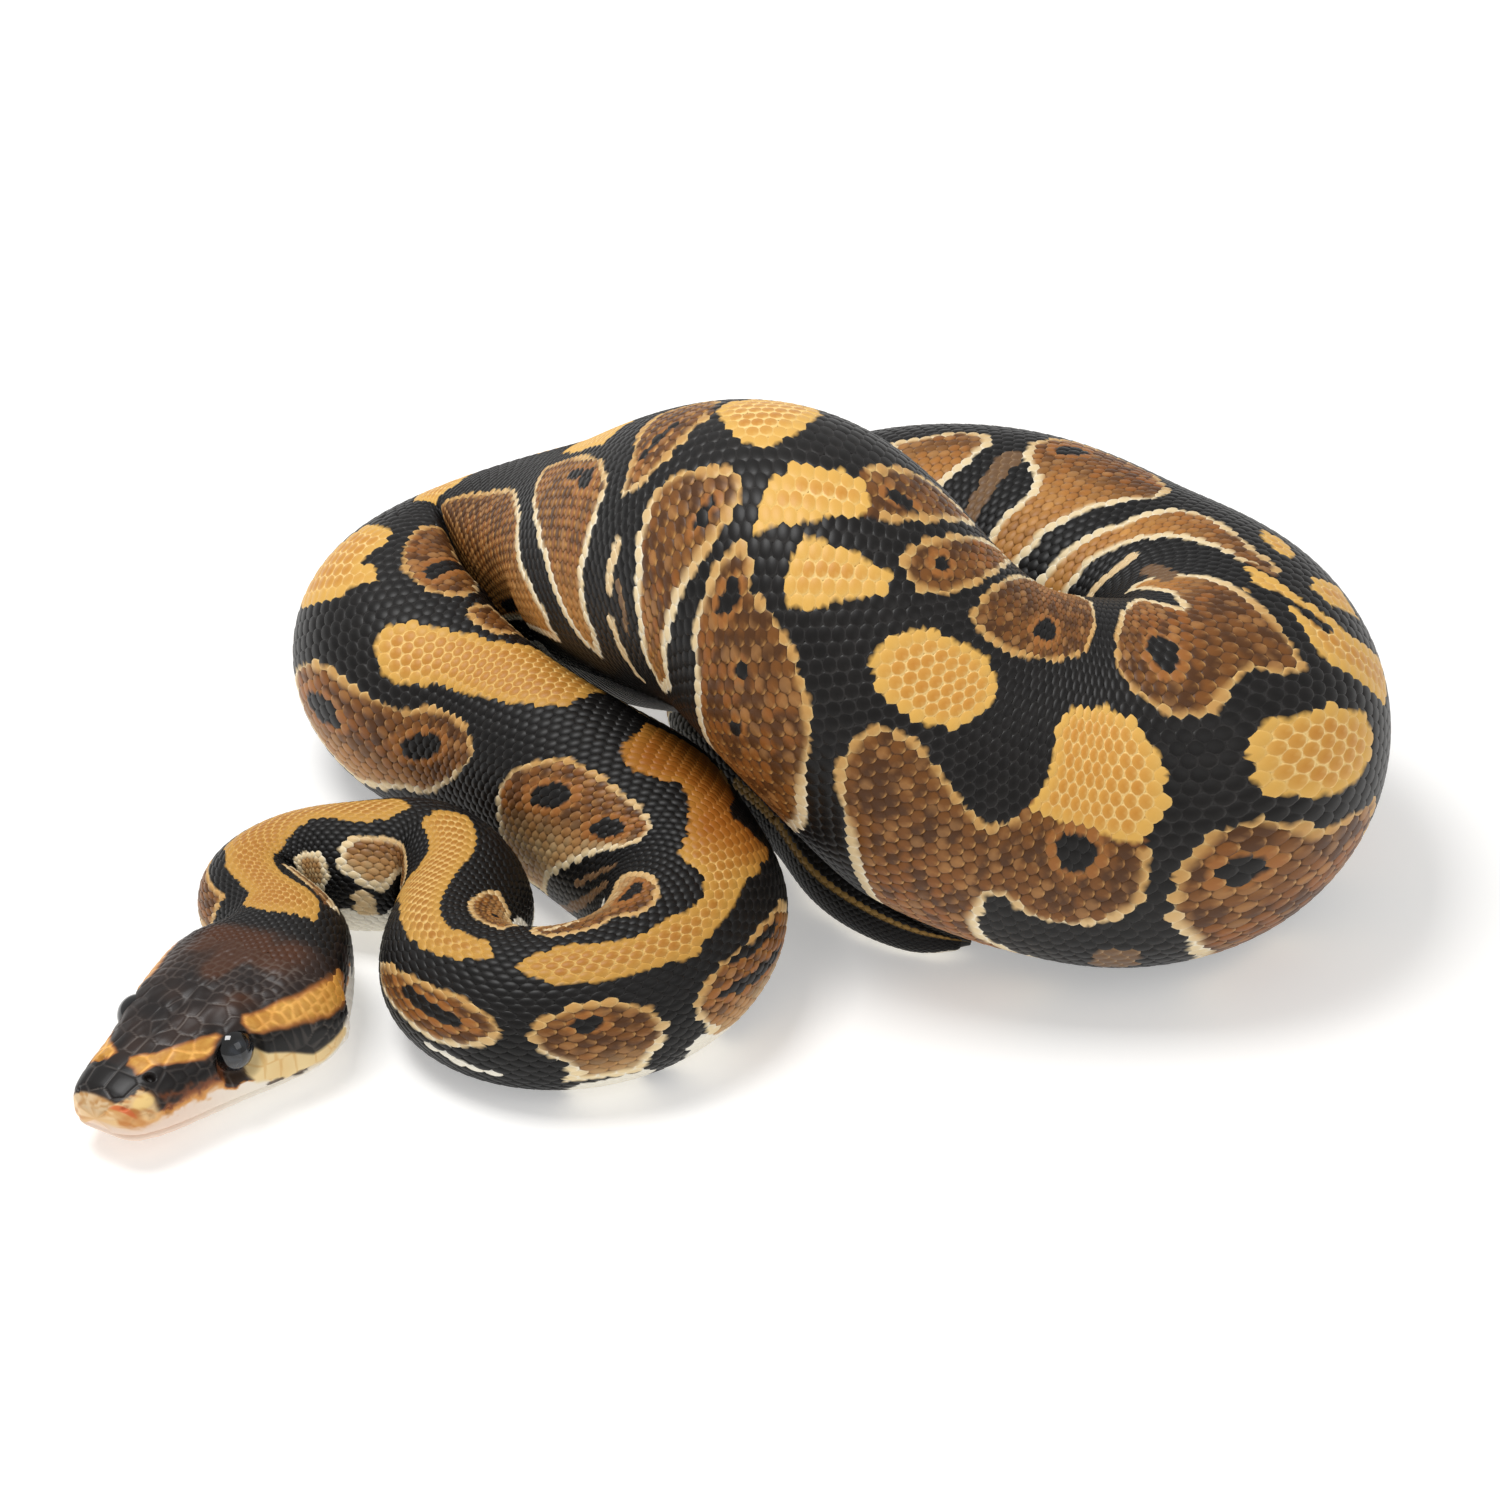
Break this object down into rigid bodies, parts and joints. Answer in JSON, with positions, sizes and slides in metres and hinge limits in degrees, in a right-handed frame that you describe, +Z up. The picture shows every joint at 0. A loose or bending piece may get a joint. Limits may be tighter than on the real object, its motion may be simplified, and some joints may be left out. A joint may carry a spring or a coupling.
{
  "type": "ball python resting in a loose coil",
  "caption": "Life-size ball python at rest in a loose coil, black with gold back blotches and brown eye-spotted flanks.",
  "frame": {"origin": "centre of the coil's bounding box on the floor plane that it rests on", "axes": "+Z up from the floor, +X along the longer side of the coil, away from the head, +Y towards the back of the coil, so the head points to -X -Y"},
  "size_m": [0.1835, 0.1453, 0.0726],
  "materials": {
    "scaled_skin": "satin",
    "crown_skin": "satin",
    "jaw_skin": "satin",
    "cornea": "gloss"
  },
  "bodies": {
    "root": {"head": "crown_skin", "lower_jaw": "jaw_skin", "eye_left": "cornea", "eye_right": "cornea", "neck": "scaled_skin", "trunk_01": "scaled_skin", "trunk_02": "scaled_skin", "trunk_03": "scaled_skin", "trunk_04": "scaled_skin", "trunk_05": "scaled_skin", "trunk_06": "scaled_skin", "trunk_07": "scaled_skin", "trunk_08": "scaled_skin", "trunk_09": "scaled_skin", "trunk_10": "scaled_skin", "tail": "scaled_skin"}
  },
  "joints": []
}
